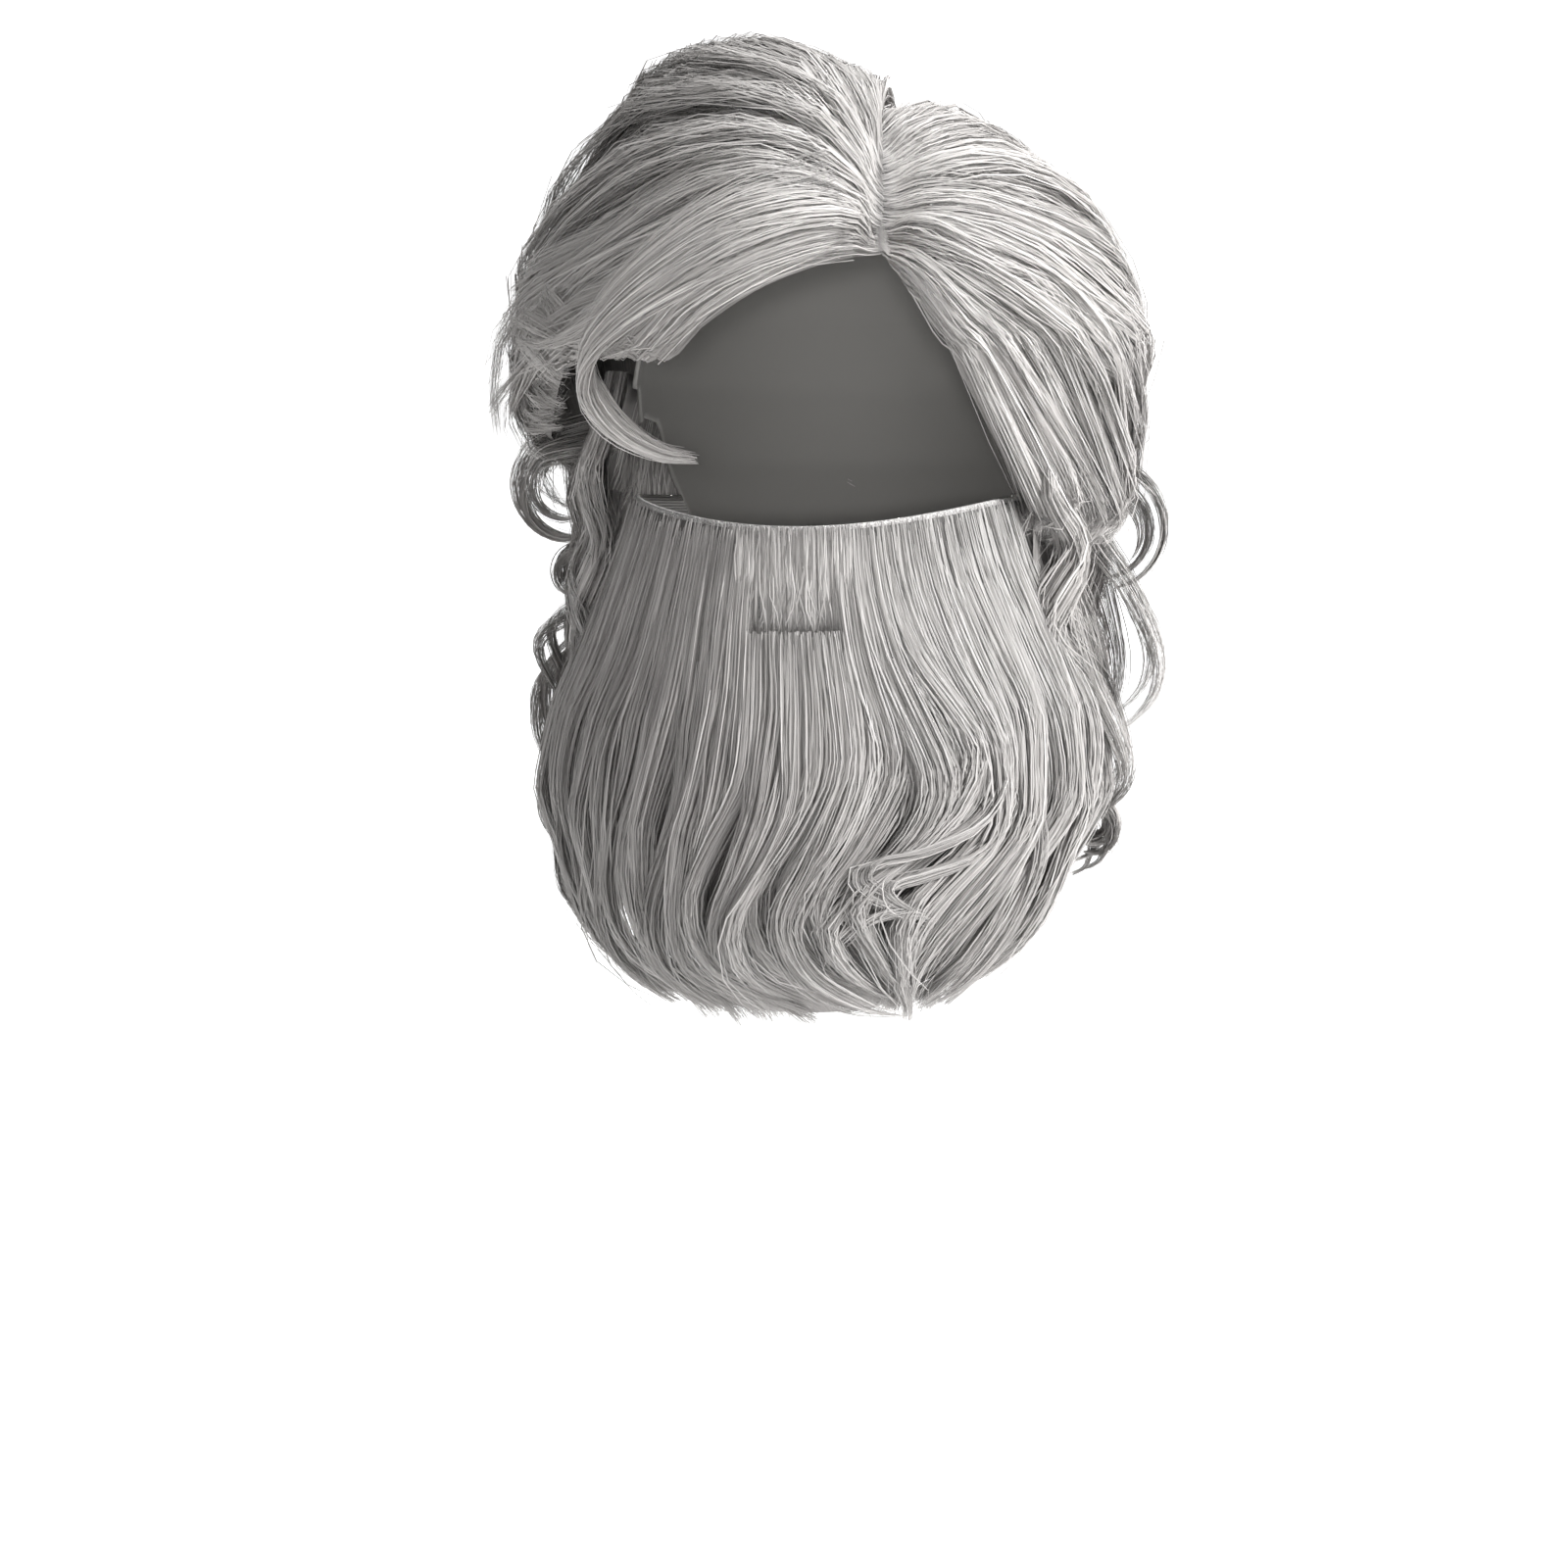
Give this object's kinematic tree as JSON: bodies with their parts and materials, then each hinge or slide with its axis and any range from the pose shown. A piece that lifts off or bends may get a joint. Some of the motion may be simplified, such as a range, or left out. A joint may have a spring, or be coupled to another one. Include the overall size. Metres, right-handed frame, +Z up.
{
  "type": "wavy wig with full beard",
  "caption": "Layered wavy grey wig on a net cap, with a full curled beard, trimmed moustache and elastic strap, in worn form.",
  "frame": {"origin": "where the crown of the wearer's head touches the inside of the cap", "axes": "+Z up along the head, -Y the way the wearer's face looks, +X to the wearer's left"},
  "size_m": [0.2654, 0.2536, 0.3724],
  "materials": {
    "hair": "fine wavy grey synthetic hair with a soft sheen",
    "cap_net": "grey elastic net sewn with rows of weft",
    "backing_net": "fine grey lace backing",
    "elastic": "woven grey elastic"
  },
  "bodies": {
    "root": {"wig_cap": "cap_net", "crown_hair_left": "hair", "crown_hair_right": "hair", "forelock": "hair", "side_hair_left": "hair", "side_hair_right": "hair", "back_hair": "hair", "beard_backing": "backing_net", "moustache": "hair", "beard_hair": "hair", "beard_strap": "elastic"}
  },
  "joints": []
}
